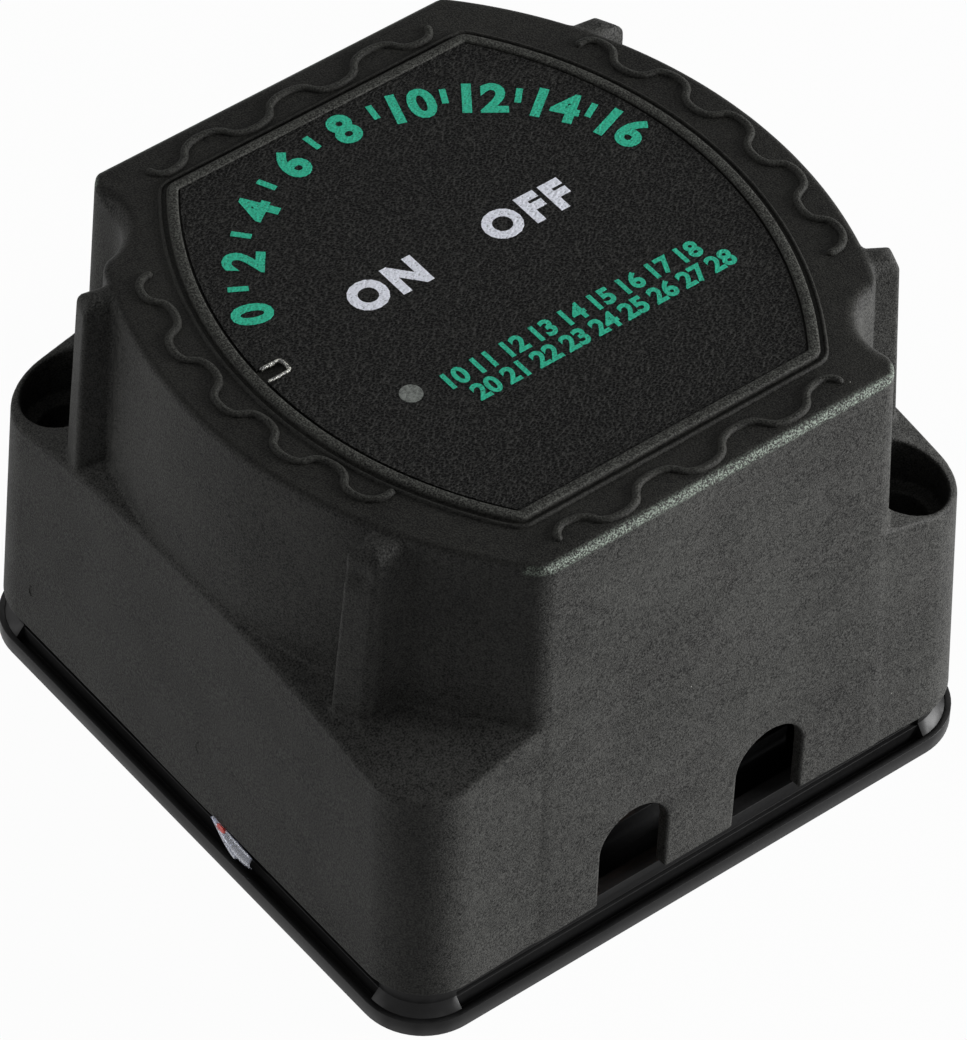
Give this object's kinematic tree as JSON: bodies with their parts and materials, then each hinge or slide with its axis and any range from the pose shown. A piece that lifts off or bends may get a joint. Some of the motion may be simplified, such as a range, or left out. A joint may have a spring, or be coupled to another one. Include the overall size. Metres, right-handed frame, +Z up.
{
  "type": "battery isolator relay",
  "caption": "Voltage sensing battery isolator relay in a square moulded case with cable arches, screw pockets, a label in a raised border and a contact relay inside.",
  "frame": {"origin": "middle of the underside, on the mounting surface", "axes": "+Z up out of the mounting surface, through the label; +X to the right along the face with the cable arches; that face points along -Y"},
  "size_m": [0.068, 0.068, 0.0534],
  "materials": {
    "tray_black": "semi-gloss moulded black",
    "cover_black": "fine-grained matte black",
    "label_black": "textured film",
    "housing_black": "matt",
    "steel": "zinc plated",
    "dark_steel": "dark passivated steel",
    "copper": "bare copper",
    "brass": "plain",
    "silver": "tinned or silver",
    "bobbin_white": "natural nylon",
    "tape_yellow": "polyester tape",
    "board_green": "solder mask",
    "part_black": "moulded component body",
    "part_tan": "ceramic",
    "lens_clear": "clear, greyish",
    "led_red": "tinted resin",
    "wire_red": "insulated wire",
    "wire_black": "insulated wire"
  },
  "bodies": {
    "base": {"base_tray": "tray_black", "relay_housing": "housing_black", "housing_screws": "steel", "terminal_bar_left": "copper", "terminal_bar_right": "copper", "terminal_stud_left": "brass", "terminal_stud_right": "brass", "flat_washers": "silver", "spring_washers": "steel", "terminal_nuts": "silver", "fixed_contacts": "silver", "yoke": "dark_steel", "yoke_screws": "steel", "fixed_core": "steel", "coil_bobbin": "bobbin_white", "coil_winding": "copper", "winding_tape": "tape_yellow", "coil_pins": "silver", "board_pillars": "brass", "circuit_board": "board_green", "board_screws": "steel", "indicator_led": "led_red", "control_chip": "part_black", "driver_transistor": "part_black", "flyback_diode": "part_black", "chip_resistors": "part_black", "chip_capacitors": "part_tan", "smoothing_capacitor": "silver", "sense_wires": "wire_red", "earth_blade": "brass", "earth_wire": "wire_black", "return_spring": "steel"},
    "armature": {"armature_plate": "dark_steel", "plunger_shaft": "steel", "contact_bridge": "copper", "moving_contacts": "silver", "contact_spring": "steel", "shaft_clip": "dark_steel"},
    "cover": {"cover": "cover_black", "label_film": "label_black", "led_lens": "lens_clear"}
  },
  "joints": [
    {"name": "cover_lift", "type": "slide", "parent": "base", "child": "cover", "axis": [0, 0, 1], "range_m": [0, 0.06]},
    {"name": "armature_travel", "type": "slide", "parent": "base", "child": "armature", "axis": [0, 0, -1], "range_m": [0, 0.0015], "stiffness_N_per_m": 800, "springref_m": -0.003, "deforming": ["return_spring"]}
  ]
}
